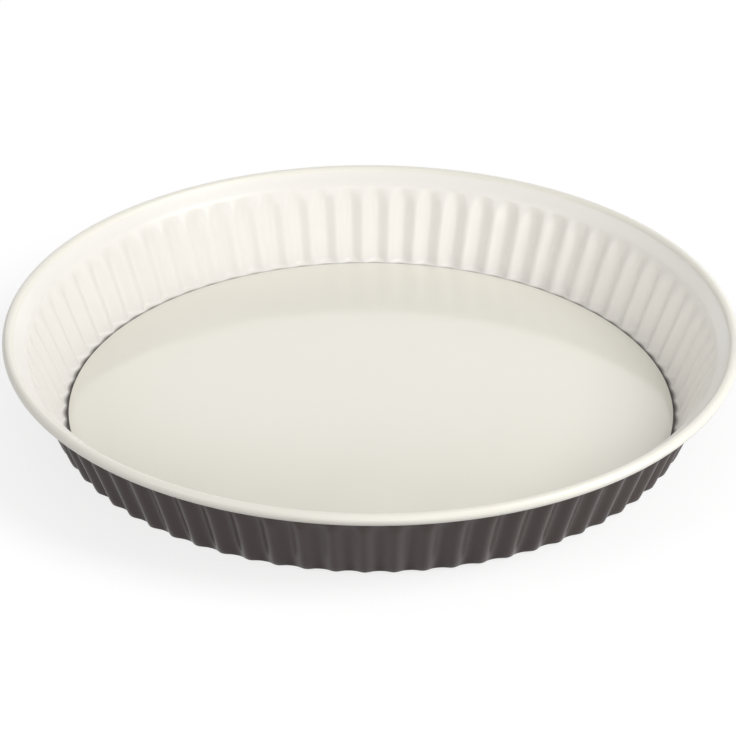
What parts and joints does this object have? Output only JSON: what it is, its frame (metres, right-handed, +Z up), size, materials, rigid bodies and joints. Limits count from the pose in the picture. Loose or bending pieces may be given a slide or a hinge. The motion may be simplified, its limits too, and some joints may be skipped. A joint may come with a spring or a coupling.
{
  "type": "quiche pan",
  "caption": "Round fluted quiche pan: a flaring ring with a plain collar and a rolled rim, and a loose flat base that rests on the ring's inner seat and lifts out.",
  "frame": {"origin": "on the table, under the middle of the pan", "axes": "+Z up along the pan's own axis, out of its open top; the picture is taken from about the -Y side"},
  "size_m": [0.296, 0.296, 0.0377],
  "materials": {
    "dark_coating": "satin dark grey-brown non-stick coat on the outside of pressed steel sheet",
    "cream_coating": "smooth satin cream non-stick coat on the inside of pressed steel sheet"
  },
  "bodies": {
    "ring": {"fluted_ring": "dark_coating"},
    "base": {"loose_base": "cream_coating"}
  },
  "joints": [
    {"name": "base_lift", "type": "slide", "parent": "ring", "child": "base", "axis": [0, 0, 1], "range_m": [0, 0.06]}
  ]
}
